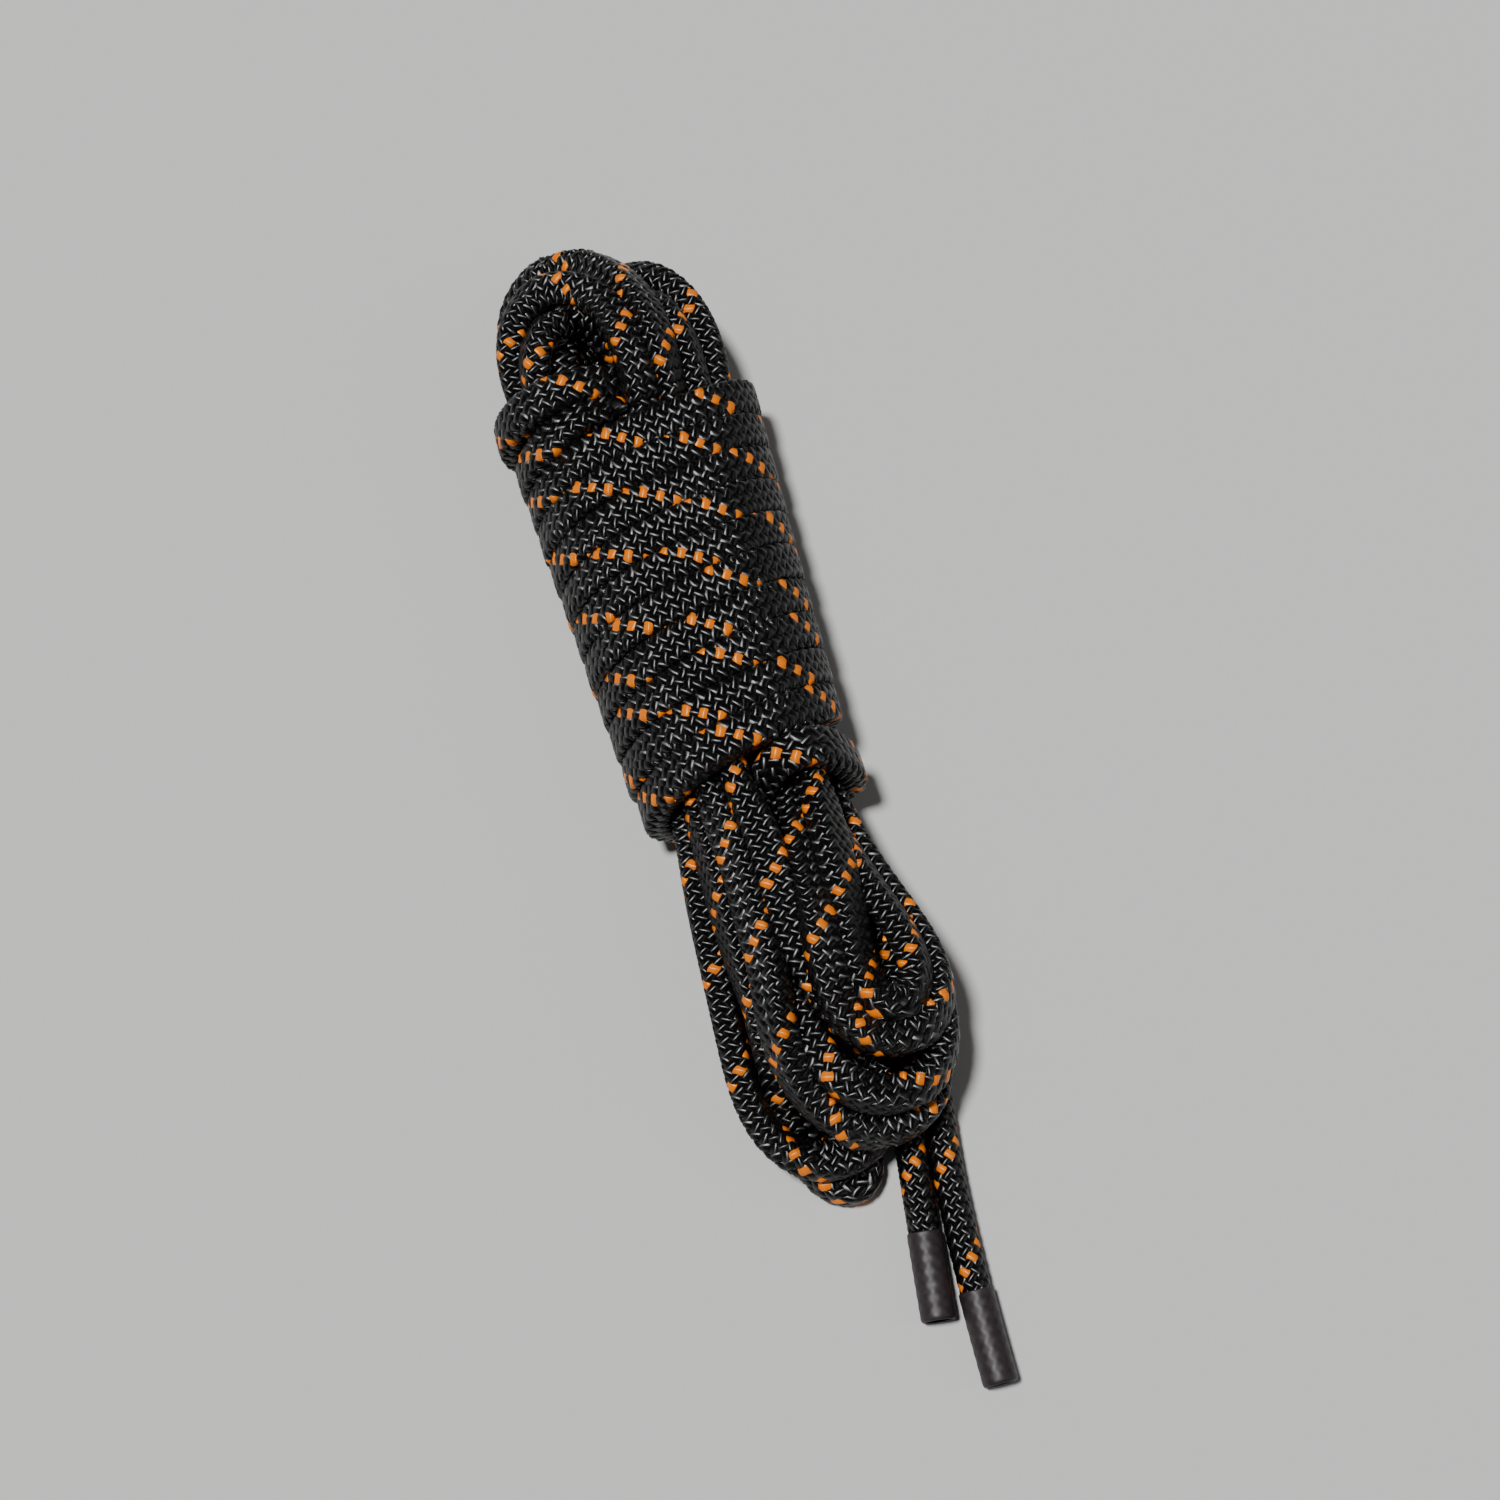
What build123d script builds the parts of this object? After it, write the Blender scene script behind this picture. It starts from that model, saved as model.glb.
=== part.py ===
"""One hank of dynamic climbing rope, lying on its flat underside.

The rope is a kernmantle rope: a braided sheath round a core of twisted yarns. It is folded into bights,
and wrapped round its own middle with its own end. Both ends lie side by side below the hank, each melted
shut and covered with a heat-shrink sleeve.

Frame: millimetres, +Z up, +Y along the hank towards its upper loops, origin at the middle of the
underside. The hank's own volume is three closed solids of its outer shape: the upper loops, the wrapped
waist and the lower loops. The two free ends are modelled piece by piece, from where they leave the folded
rope inside the lower loops.
"""

import math
import os

from build123d import *

# Rope
ROPE_D = 9.5
SHEATH_WALL = 1.0
OUTER_CORE_YARNS = 6
YARN_CLEARANCE = 0.1

# Heat-shrink sleeves and melted tips
SLEEVE_WALL = 0.45
SLEEVE_LENGTHS = {"left": 25.4, "right": 27.0}
SLEEVE_OVERHANG = 1.0
TIP_LENGTH = 1.5
TIP_ROUND = 0.4
SLEEVE_D = ROPE_D + 2 * SLEEVE_WALL
END_HEIGHT = SLEEVE_D / 2

# Outer shape of the hank: each station is (y, centre x, half width, height)
HALF_LENGTH = 185.0
HALF_WIDTH = 40.0
UNDERSIDE_CUT = 2.5
WAIST_TOP_Y = 122.0
WAIST_BOTTOM_Y = -8.0
WAIST = [
    (WAIST_TOP_Y, 0.0, HALF_WIDTH, 45.0),
    (95.0, -1.0, 38.5, 48.0),
    (40.0, -1.5, 34.0, 52.0),
    (WAIST_BOTTOM_Y, -1.0, 31.0, 52.0),
]
UPPER_LOOPS = [
    (WAIST_TOP_Y, -1.0, 37.5, 40.0),
    (143.0, -2.5, 36.5, 40.0),
    (163.0, -6.5, 28.5, 36.0),
    (177.0, -8.0, 18.0, 30.0),
    (HALF_LENGTH, -8.0, 6.5, 18.0),
]
LOWER_LOOPS = [
    (WAIST_BOTTOM_Y, 0.0, 28.5, 45.0),
    (-45.0, 2.0, 32.5, 46.0),
    (-85.0, 4.0, 34.5, 41.0),
    (-110.0, 2.0, 27.0, 30.0),
    (-126.0, -3.0, 11.0, 14.0),
]

# Centre lines of the two free ends, from inside the lower loops out to the melted tips
LEFT_END_ROUTE = [(24.3, -63.0), (15.5, -111.5), (8.8, -160.7)]
RIGHT_END_ROUTE = [(30.5, -84.0), (21.6, -133.0), (20.1, -182.5)]
ARC_SHARE_OF_RUN = 0.45


def section_plane(y, centre_x, height):
    """The upright plane of one section of the hank, at the middle of the section's oval."""
    middle_z = (height - UNDERSIDE_CUT) / 2
    return Plane(origin=(centre_x, y, middle_z), x_dir=(1, 0, 0), z_dir=(0, -1, 0))


def hank_solid(stations, label, channels=()):
    """A closed solid of the hank's outer shape through its stations, flat where it rests."""
    with BuildPart() as solid:
        for y, centre_x, half_width, height in stations:
            with BuildSketch(section_plane(y, centre_x, height)):
                Ellipse(half_width, (height + UNDERSIDE_CUT) / 2)
        loft()
        split(bisect_by=Plane.XY, keep=Keep.TOP)
        for channel in channels:
            add(channel.part, mode=Mode.SUBTRACT)
    solid.part.label = label
    return solid


def corner_radii(points):
    """The radius of the arc at each inner point: as large as its two runs allow."""
    radii = []
    for before, here, after in zip(points, points[1:], points[2:]):
        run_in = Vector(here) - Vector(before)
        run_out = Vector(after) - Vector(here)
        half_turn = math.radians(run_in.get_angle(run_out)) / 2
        shorter = min(run_in.length, run_out.length)
        radii.append(ARC_SHARE_OF_RUN * shorter / math.tan(half_turn))
    return radii


def end_path(flat_route):
    """The centre line of a free end: straight runs joined by tangent arcs, at one height."""
    route = [(x, y, END_HEIGHT) for x, y in flat_route]
    radii = corner_radii(route)
    with BuildLine() as centre_line:
        FilletPolyline(*route, radius=radii)
    path = centre_line.wires()[0]
    print("free end: radii", [round(r, 1) for r in radii], "length", round(path.length, 1))
    return path


def swept_circles(path, radius, ring_radius=0.0, ring_count=0):
    """A round cord along a path, and a ring of the same cords round it."""
    with BuildPart() as cords:
        with BuildSketch(Plane(origin=path @ 0, z_dir=path % 0)):
            Circle(radius)
            if ring_count:
                with PolarLocations(ring_radius, ring_count):
                    Circle(radius)
        sweep(path=path)
    return cords


def end_sheath(path, label):
    """The braided cover of a free end, as a plain tube."""
    bore_radius = ROPE_D / 2 - SHEATH_WALL
    with BuildPart() as sheath:
        with BuildSketch(Plane(origin=path @ 0, z_dir=path % 0)):
            Circle(ROPE_D / 2)
            Circle(bore_radius, mode=Mode.SUBTRACT)
        sweep(path=path)
    sheath.part.label = label
    section = math.pi * ((ROPE_D / 2) ** 2 - bore_radius**2)
    print(label, "volume over section times length", round(sheath.part.volume / (section * path.length), 5))
    return sheath


def end_core(path, label):
    """The core yarns of a free end: one in the middle and a ring round it, inside the sheath's bore."""
    yarn_pitch = (ROPE_D - 2 * SHEATH_WALL) / 3
    yarn_radius = (yarn_pitch - YARN_CLEARANCE) / 2
    core = swept_circles(path, yarn_radius, yarn_pitch, OUTER_CORE_YARNS)
    core.part.label = label
    return core


def melted_tip(path, label):
    """The fused end of sheath and core."""
    tip_axis = Axis(path @ 1, path % 1)
    with BuildPart() as tip:
        with BuildSketch(Plane(origin=path @ 1, z_dir=path % 1)):
            Circle(ROPE_D / 2)
        extrude(amount=TIP_LENGTH)
        fillet(tip.edges().filter_by(GeomType.CIRCLE).sort_by(tip_axis)[-1], TIP_ROUND)
    tip.part.label = label
    return tip


def end_sleeve(path, length, label):
    """The heat-shrink tube over a free end, open a little beyond the melted tip."""
    outer_end = Plane(origin=path @ 1, z_dir=path % 1).offset(TIP_LENGTH + SLEEVE_OVERHANG)
    with BuildPart() as sleeve:
        with BuildSketch(outer_end):
            Circle(SLEEVE_D / 2)
            Circle(ROPE_D / 2, mode=Mode.SUBTRACT)
        extrude(amount=-length)
    sleeve.part.label = label
    return sleeve


pieces = []
channels = []
for side, flat_route in (("left", LEFT_END_ROUTE), ("right", RIGHT_END_ROUTE)):
    path = end_path(flat_route)
    channels.append(swept_circles(path, ROPE_D / 2))
    pieces.append(end_sheath(path, f"{side}_end_sheath"))
    pieces.append(end_core(path, f"{side}_end_core_yarns"))
    pieces.append(melted_tip(path, f"{side}_end_melted_tip"))
    pieces.append(end_sleeve(path, SLEEVE_LENGTHS[side], f"{side}_end_sleeve"))

pieces.append(hank_solid(UPPER_LOOPS, "upper_loops"))
pieces.append(hank_solid(WAIST, "waist_wraps"))
pieces.append(hank_solid(LOWER_LOOPS, "lower_loops", channels))

os.makedirs("parts", exist_ok=True)
for piece in pieces:
    export_step(piece.part, f"parts/{piece.part.label}.step")
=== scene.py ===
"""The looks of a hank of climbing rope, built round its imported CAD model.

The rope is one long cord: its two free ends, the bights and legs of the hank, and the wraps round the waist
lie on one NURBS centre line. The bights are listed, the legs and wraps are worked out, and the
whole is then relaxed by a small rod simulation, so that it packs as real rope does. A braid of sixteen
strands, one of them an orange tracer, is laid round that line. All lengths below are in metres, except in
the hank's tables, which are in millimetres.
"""

import math

import bmesh
import bpy
import numpy as np
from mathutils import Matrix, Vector


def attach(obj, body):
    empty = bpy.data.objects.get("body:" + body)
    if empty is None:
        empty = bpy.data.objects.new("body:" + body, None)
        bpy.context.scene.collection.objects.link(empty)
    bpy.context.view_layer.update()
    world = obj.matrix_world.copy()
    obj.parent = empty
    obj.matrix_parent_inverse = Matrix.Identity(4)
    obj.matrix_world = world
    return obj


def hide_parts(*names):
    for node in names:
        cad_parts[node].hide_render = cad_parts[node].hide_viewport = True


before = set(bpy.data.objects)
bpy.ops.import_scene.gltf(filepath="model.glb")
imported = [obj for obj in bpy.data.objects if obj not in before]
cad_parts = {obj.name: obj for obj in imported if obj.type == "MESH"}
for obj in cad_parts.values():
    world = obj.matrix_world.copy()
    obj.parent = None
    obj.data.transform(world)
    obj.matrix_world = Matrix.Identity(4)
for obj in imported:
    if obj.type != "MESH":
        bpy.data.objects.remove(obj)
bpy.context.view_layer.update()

MM = 0.001

# Rope
ROPE_D = 0.0095
ROPE_R = ROPE_D / 2

# The two free ends: the same points as in the CAD model, each from inside the lower loops outwards
LEFT_END_ROUTE = [(0.0243, -0.0630), (0.0155, -0.1115), (0.0088, -0.1607)]
RIGHT_END_ROUTE = [(0.0305, -0.0840), (0.0216, -0.1330), (0.0201, -0.1825)]
END_HEIGHT = 0.0052

# Heat-shrink sleeves and melted tips
SLEEVE_R = 0.0052
SLEEVE_WALL = 0.00045
SLEEVE_LENGTHS = {"left": 0.0254, "right": 0.027}
TIP_LENGTH = 0.0015
SLEEVE_OVERHANG = 0.001

# Nothing on the rope reaches lower than this above the floor
LOWEST_Z = 0.00001

# Keeps a division from failing where its divisor would be zero
TINY = 1e-9

# Camera: where the photograph looks from
CAMERA_TARGET = Vector((0.0034, 0.010, 0.025))
CAMERA_DISTANCE = 0.803
CAMERA_ELEVATION = math.radians(73.0)
CAMERA_TURN = math.radians(16.5)
CAMERA_LENS = 65.0
CAMERA_NEAREST = 0.01
SENSOR_WIDTH = 36.0

# Floor and lights: each sun shines from its direction, and its strength is in watts per square metre
FLOOR_SIZE = 80.0
FLOOR_COLOUR = (0.66, 0.66, 0.65, 1)
FLOOR_ROUGHNESS = 0.85
KEY_LIGHT = {"direction": (-0.26, 0.12, 1.0), "spread_degrees": 9.0, "strength": 3.4}
FILL_LIGHT = {"direction": (0.75, -0.35, 0.75), "spread_degrees": 30.0, "strength": 0.22}
SKY_COLOUR = (0.97, 0.98, 1.0, 1)
AMBIENT_STRENGTH = 0.05
BACKDROP_STRENGTH = 0.73


# ---------------------------------------------------------------- camera, floor and lights


def add_camera():
    """The camera, turned a little to the side of the hank and looking steeply down."""
    image_up_on_floor = Vector((math.sin(CAMERA_TURN), math.cos(CAMERA_TURN), 0.0))
    back = -image_up_on_floor * math.cos(CAMERA_ELEVATION) + Vector((0, 0, math.sin(CAMERA_ELEVATION)))
    data = bpy.data.cameras.new("camera")
    data.lens = CAMERA_LENS
    data.sensor_width = SENSOR_WIDTH
    data.clip_start = CAMERA_NEAREST
    camera = bpy.data.objects.new("camera", data)
    camera.location = CAMERA_TARGET + back * CAMERA_DISTANCE
    camera.rotation_euler = (math.pi / 2 - CAMERA_ELEVATION, 0.0, -CAMERA_TURN)
    bpy.context.scene.collection.objects.link(camera)
    bpy.context.scene.camera = camera


def add_floor():
    """A plain pale floor under the object."""
    half = FLOOR_SIZE / 2
    corners = [(-half, -half, 0), (half, -half, 0), (half, half, 0), (-half, half, 0)]
    mesh = bpy.data.meshes.new("floor")
    mesh.from_pydata(corners, [], [(0, 1, 2, 3)])
    floor = bpy.data.objects.new("floor", mesh)
    bpy.context.scene.collection.objects.link(floor)
    material, _, _, shader = new_material("floor_pale")
    shader.inputs["Base Color"].default_value = FLOOR_COLOUR
    shader.inputs["Roughness"].default_value = FLOOR_ROUGHNESS
    mesh.materials.append(material)


def add_sun(name, direction, spread_degrees, strength):
    """A distant soft light that shines from this direction, evenly over the whole floor."""
    data = bpy.data.lights.new(name, "SUN")
    data.angle = math.radians(spread_degrees)
    data.energy = strength
    light = bpy.data.objects.new(name, data)
    light.rotation_euler = Vector(direction).to_track_quat("Z", "Y").to_euler()
    bpy.context.scene.collection.objects.link(light)


def add_lights():
    """Soft studio light: a key from above and a little to the left, a weak fill, and a pale backdrop."""
    add_sun("key_light", **KEY_LIGHT)
    add_sun("fill_light", **FILL_LIGHT)
    world = bpy.data.worlds.new("studio")
    bpy.context.scene.world = world
    world.use_nodes = True
    nodes = world.node_tree.nodes
    links = world.node_tree.links
    seen = nodes.new("ShaderNodeLightPath")
    strength = nodes.new("ShaderNodeMapRange")
    strength.inputs["To Min"].default_value = AMBIENT_STRENGTH
    strength.inputs["To Max"].default_value = BACKDROP_STRENGTH
    links.new(seen.outputs["Is Camera Ray"], strength.inputs["Value"])
    links.new(strength.outputs["Result"], nodes["Background"].inputs["Strength"])
    nodes["Background"].inputs["Color"].default_value = SKY_COLOUR


# ---------------------------------------------------------------- materials

# Yarn: how often its fibres' noise repeats in a metre along a strand, and from one edge of it to the middle
FIBRES_ALONG = 300.0
FIBRES_ACROSS = 8.0
FIBRE_DETAIL = 3.0
YARN_ANISOTROPY = 1.0
YARN_BUMP = {"strength": 0.35, "distance": 0.0001}

# Where in the noise the colour turns from dark to light, and what the noise adds to the roughness
YARN_RAMP = (0.3, 0.75)
YARN_GLOSS_RANGE = (-0.05, 0.07)
GRAIN_RAMP = (0.3, 0.7)
GRAIN_GLOSS_RANGE = (-0.1, 0.1)

GRAIN_DETAIL = 5.0
GRAIN_STRENGTH = 0.6


def new_material(name):
    """An empty node material with its Principled shader."""
    material = bpy.data.materials.new(name)
    material.use_nodes = True
    nodes = material.node_tree.nodes
    links = material.node_tree.links
    return material, nodes, links, nodes["Principled BSDF"]


def scaled_attribute(nodes, links, attribute, scale):
    """A float attribute of the mesh, times a constant."""
    source = nodes.new("ShaderNodeAttribute")
    source.attribute_name = attribute
    scaled = nodes.new("ShaderNodeMath")
    scaled.operation = "MULTIPLY"
    scaled.inputs[1].default_value = scale
    links.new(source.outputs["Fac"], scaled.inputs[0])
    return scaled


def surface_from_noise(nodes, links, shader, noise, look, ramp, gloss_range, bump):
    """Let one noise drive a surface's colour, gloss and fine relief."""
    colour = nodes.new("ShaderNodeValToRGB")
    for element, position, shade in zip(colour.color_ramp.elements, ramp, (look["dark"], look["light"])):
        element.position = position
        element.color = (*shade, 1)
    links.new(noise.outputs["Fac"], colour.inputs["Fac"])
    links.new(colour.outputs["Color"], shader.inputs["Base Color"])
    gloss = nodes.new("ShaderNodeMapRange")
    gloss.inputs["To Min"].default_value = look["roughness"] + gloss_range[0]
    gloss.inputs["To Max"].default_value = look["roughness"] + gloss_range[1]
    links.new(noise.outputs["Fac"], gloss.inputs["Value"])
    links.new(gloss.outputs["Result"], shader.inputs["Roughness"])
    relief = nodes.new("ShaderNodeBump")
    relief.inputs["Strength"].default_value = bump["strength"]
    relief.inputs["Distance"].default_value = bump["distance"]
    links.new(noise.outputs["Fac"], relief.inputs["Height"])
    links.new(relief.outputs["Normal"], shader.inputs["Normal"])


def yarn_material(name, look, specular, shine):
    """Glossy filament yarn: its fibres run along the strand, so its highlights stretch across it."""
    material, nodes, links, shader = new_material(name)
    place = nodes.new("ShaderNodeCombineXYZ")
    links.new(scaled_attribute(nodes, links, "along", FIBRES_ALONG).outputs[0], place.inputs["X"])
    links.new(scaled_attribute(nodes, links, "across", FIBRES_ACROSS).outputs[0], place.inputs["Y"])
    fibres = nodes.new("ShaderNodeTexNoise")
    fibres.inputs["Scale"].default_value = 1.0
    fibres.inputs["Detail"].default_value = FIBRE_DETAIL
    links.new(place.outputs[0], fibres.inputs["Vector"])
    surface_from_noise(nodes, links, shader, fibres, look, YARN_RAMP, YARN_GLOSS_RANGE, YARN_BUMP)
    shader.inputs["Specular IOR Level"].default_value = specular
    shader.inputs["Specular Tint"].default_value = (*shine, 1)
    shader.inputs["Anisotropic"].default_value = YARN_ANISOTROPY
    crosswise = nodes.new("ShaderNodeAttribute")
    crosswise.attribute_name = "crosswise"
    links.new(crosswise.outputs["Vector"], shader.inputs["Tangent"])
    return material


def grained_material(name, look, grain_scale, grain_height):
    """Moulded or melted plastic with a fine uneven grain."""
    material, nodes, links, shader = new_material(name)
    place = nodes.new("ShaderNodeTexCoord")
    grain = nodes.new("ShaderNodeTexNoise")
    grain.inputs["Scale"].default_value = grain_scale
    grain.inputs["Detail"].default_value = GRAIN_DETAIL
    links.new(place.outputs["Object"], grain.inputs["Vector"])
    bump = {"strength": GRAIN_STRENGTH, "distance": grain_height}
    surface_from_noise(nodes, links, shader, grain, look, GRAIN_RAMP, GRAIN_GLOSS_RANGE, bump)
    return material


def sheath_black():
    """Fifteen of the braid's strands: deep black yarn that shows only by its highlights."""
    look = {"dark": (0.0005, 0.0005, 0.0006), "light": (0.0015, 0.0015, 0.0017), "roughness": 0.32}
    return yarn_material("sheath_black", look, specular=0.72, shine=(1, 1, 1))


def tracer_orange():
    """The tracer: bright orange yarn."""
    look = {"dark": (0.88, 0.16, 0.0), "light": (1.0, 0.28, 0.0), "roughness": 0.32}
    return yarn_material("tracer_orange", look, specular=1.0, shine=(1.0, 0.7, 0.3))


def heat_shrink():
    """The sleeves: dark grey plastic with a soft sheen."""
    look = {"dark": (0.015, 0.0102, 0.0122), "light": (0.027, 0.019, 0.022), "roughness": 0.5}
    return grained_material("heat_shrink", look, grain_scale=500.0, grain_height=0.00003)


def melted_nylon():
    """The melted tips: yarn fused into lumpy dark plastic."""
    look = {"dark": (0.012, 0.011, 0.011), "light": (0.03, 0.027, 0.027), "roughness": 0.5}
    return grained_material("melted_nylon", look, grain_scale=700.0, grain_height=0.0002)


def sheath_underlay():
    """What shows in the gaps between strands: nearly black and dull."""
    look = {"dark": (0.003, 0.003, 0.003), "light": (0.006, 0.006, 0.006), "roughness": 0.8}
    return grained_material("sheath_underlay", look, grain_scale=2500.0, grain_height=0.00005)


# ---------------------------------------------------------------- the hank's route, in millimetres

# Where each leg of the hank enters the waist from below and from above: number -> (x, z)
LOW_SLOTS = {
    1: (-19, 22.5), 2: (-14, 30.7), 3: (-8, 38.9), 4: (-4, 30.7), 5: (1.5, 38.9),
    6: (6, 30.7), 7: (11, 38.9), 8: (15, 30.7), 9: (18, 22.5), 10: (9.5, 22.5),
    11: (0.5, 22.5), 12: (-9, 22.5), 13: (0, 14.3), 14: (-9.5, 14.3), 15: (9.5, 14.3),
}
TOP_SLOTS = {
    1: (-18, 30.7), 2: (-9, 30.7), 3: (0.5, 30.7), 4: (10, 30.7), 5: (19, 30.7),
    6: (-25, 22.5), 7: (-14, 22.5), 8: (-4.5, 22.5), 9: (5, 22.5), 10: (15, 22.5),
    11: (25, 22.5), 12: (-20, 14.3), 13: (-9.5, 14.3), 14: (1, 14.3), 15: (11, 14.3),
}
LOW_SLOT_Y = 0.0
TOP_SLOT_Y = 118.0

# Which low slot the leg in each top slot comes from
LEGS = {12: 14, 4: 7, 5: 8, 15: 15, 6: 1, 3: 5, 14: 11, 2: 3, 7: 12, 11: 9, 9: 6, 1: 2, 13: 13, 10: 10, 8: 4}

# The bights beyond the waist, between two top slots
TOP_BIGHTS = {
    (6, 3): [(-33, 138, 23), (-31, 150, 26), (-29, 161, 29), (-23, 168, 31), (-13, 169, 33), (-3, 162, 36),
             (1.5, 149, 41), (2, 133, 42)],
    (7, 4): [(-19, 132, 14), (-27, 148, 10.5), (-28.5, 161, 9.5), (-27, 172, 10.5), (-19, 181, 14),
             (-10, 182.5, 19), (-2, 178.5, 25), (4, 171, 31), (9, 160, 37), (12, 147, 41), (11.5, 132, 42)],
    (11, 13): [(29.5, 132, 28), (29, 142, 28), (25.5, 154.5, 28), (19, 165, 27), (11, 170, 24), (1, 171, 19),
               (-9, 166, 14), (-14, 150, 10), (-12, 132, 9)],
    (10, 12): [(13, 123, 24), (7, 127, 30), (-1, 129, 33), (-8, 129.5, 39), (-20, 130.5, 42),
               (-32, 130, 35), (-37, 127.5, 22), (-35, 124, 10), (-25, 120, 8)],
    (1, 9): [(-25, 136, 32), (-25.5, 147, 34), (-20, 155.5, 34), (-11, 158.5, 32), (-2, 153, 27),
             (4, 139, 21)],
    (2, 14): [(-17, 134, 29), (-17.5, 146, 27), (-11, 151, 23), (-2, 147, 17), (2, 130, 14)],
    (5, 15): [(20, 132, 37), (19.5, 148, 32), (15, 158, 25), (8, 160, 18), (5, 148, 14), (8, 133, 14)],
}

# The bights below the waist, between two low slots
LOW_BIGHTS = {
    (1, 13): [(-22.5, -16, 27), (-24, -33, 25), (-25, -52, 23), (-25.5, -74, 19), (-25.5, -90, 16),
              (-21, -103, 14.5), (-13, -110.5, 14), (-2, -112, 14), (7, -108, 14), (12, -92, 14),
              (10, -50, 13), (4, -22, 13.5)],
    (2, 14): [(-17, -18, 34), (-17.5, -40, 33), (-17, -60, 30), (-16.5, -77, 22), (-14, -92, 11),
              (-11, -106, 5), (-6, -117, 5), (0, -120, 5), (1, -112, 5), (-9, -99, 5), (-12, -84, 5),
              (-9, -60, 6), (-6, -25, 9)],
    (3, 12): [(-8.8, -16, 40), (-9.5, -40, 40), (-9.5, -62, 38), (-10, -78, 34), (-10, -96, 27),
              (-2.5, -105.5, 25), (10, -108.5, 22), (22, -106, 20), (29, -96, 17), (26, -80, 15.5),
              (19, -60, 16), (9, -38, 18), (-2, -16, 21)],
    (4, 10): [(-3.5, -30, 33), (-5, -60, 34), (-5, -78, 35), (-4, -88, 34), (0, -95, 33), (9, -99, 32),
              (21, -100, 31), (31, -93, 29), (34, -78, 26), (31, -60, 22), (24, -38, 20), (16, -18, 21)],
    (5, 11): [(-1, -20, 42), (-2, -42, 41), (-1, -57, 38), (5, -74, 30), (14, -82, 27), (23, -78, 24),
              (24, -66, 22), (17, -45, 21), (9, -22, 21.5)],
    (6, 9): [(8.2, -20, 41), (6.2, -44, 41), (5, -64, 40), (6, -75, 39), (13.5, -85.5, 38), (24, -86.5, 37),
             (32.5, -80, 34), (35, -68, 30), (30.5, -47, 27), (23.5, -25, 25)],
    (7, 8): [(15, -21, 42), (13.4, -45, 42), (13, -63, 41), (14.5, -74, 40), (19.5, -79.5, 39), (25, -77, 39),
             (28.5, -69, 38), (27.5, -58, 37), (24, -44, 36), (20, -25, 34)],
}

# The bight that goes round the left side like a wrap
BAND = (10, 12)

# From the free ends into the hank, and out of it
FIRST_LOW_SLOT = 15
LAST_TOP_SLOT = 8
RIGHT_END_LEG = [(30, -66, 5.2), (26, -45, 6.5), (17, -22, 11)]
FIRST_WRAP_START = [(-5, 120, 29), (-8, 121.5, 38)]
LAST_WRAP_END = [(23.5, -5, 22), (22.5, -4, 34), (17, -1, 43.5), (11, 2, 47), (5, 2, 44)]
LEFT_END_LEG = [(3, -3, 37), (3.5, -10, 28), (5, -18, 19), (8, -27, 11), (15, -40, 5.5)]

# The wraps round the waist: the first turn's y on the right side, on top and on the left side, and the step
# from each turn to the next
WRAPS = 10
WRAP_STEPS = 16
WRAP_RIGHT = (121.0, -11.3)
WRAP_TOP = (112.2, -11.5)
WRAP_LEFT = (101.0, -11.2)
LAST_WRAP_RIGHT_Y = -4.0

# The waist's outline, with sizes at its upper and its lower end. The outline carries on a little below the
# waist, and its top rises faster than its width shrinks.
WRAP_CENTRE_X = -1.0
WRAP_SQUARENESS = 0.8
WAIST_LENGTH = 118.0
WAIST_HALF_WIDTHS = (35.5, 27.5)
WAIST_TOPS = (40.2, 47.5)
WAIST_OVERRUN = 1.1
WAIST_TOP_RISE = 1.6
ROPE_R_MM = ROPE_R / MM

# How the first wrap comes up out of the waist: degrees round the waist, and y
FIRST_WRAP_RISE = [(112, 119.5), (135, 117), (157, 114.5)]


def wrap_y(marks, turn):
    """The y of a turn, from the first turn's y and the step between turns."""
    return marks[0] + marks[1] * turn


def ring_point(angle, y):
    """A point of the waist's outline at this y: wide and flat at the top of the waist, rounder below."""
    down = min(WAIST_OVERRUN, max(0.0, (WAIST_LENGTH - y) / WAIST_LENGTH))
    half_width = WAIST_HALF_WIDTHS[0] + (WAIST_HALF_WIDTHS[1] - WAIST_HALF_WIDTHS[0]) * down
    top = WAIST_TOPS[0] + (WAIST_TOPS[1] - WAIST_TOPS[0]) * min(1.0, down * WAIST_TOP_RISE)
    middle = (top + ROPE_R_MM) / 2
    half_height = (top - ROPE_R_MM) / 2
    c, s = math.cos(angle), math.sin(angle)
    x = WRAP_CENTRE_X + half_width * math.copysign(abs(c) ** WRAP_SQUARENESS, c)
    z = middle + half_height * math.copysign(abs(s) ** WRAP_SQUARENESS, s)
    return (x, y, z)


def wrap_turn(turn, first_step=0, end_right=None):
    """One turn, from the right side over the top to the left side and back underneath."""
    right = wrap_y(WRAP_RIGHT, turn)
    left = wrap_y(WRAP_LEFT, turn)
    next_right = wrap_y(WRAP_RIGHT, turn + 1) if end_right is None else end_right
    marks = [right, wrap_y(WRAP_TOP, turn), left, (left + next_right) / 2, next_right]
    points = []
    for step in range(first_step, WRAP_STEPS):
        quarter, share = divmod(4.0 * step / WRAP_STEPS, 1.0)
        before, after = marks[int(quarter)], marks[int(quarter) + 1]
        points.append(ring_point(2 * math.pi * step / WRAP_STEPS, before + (after - before) * share))
    return points


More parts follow.
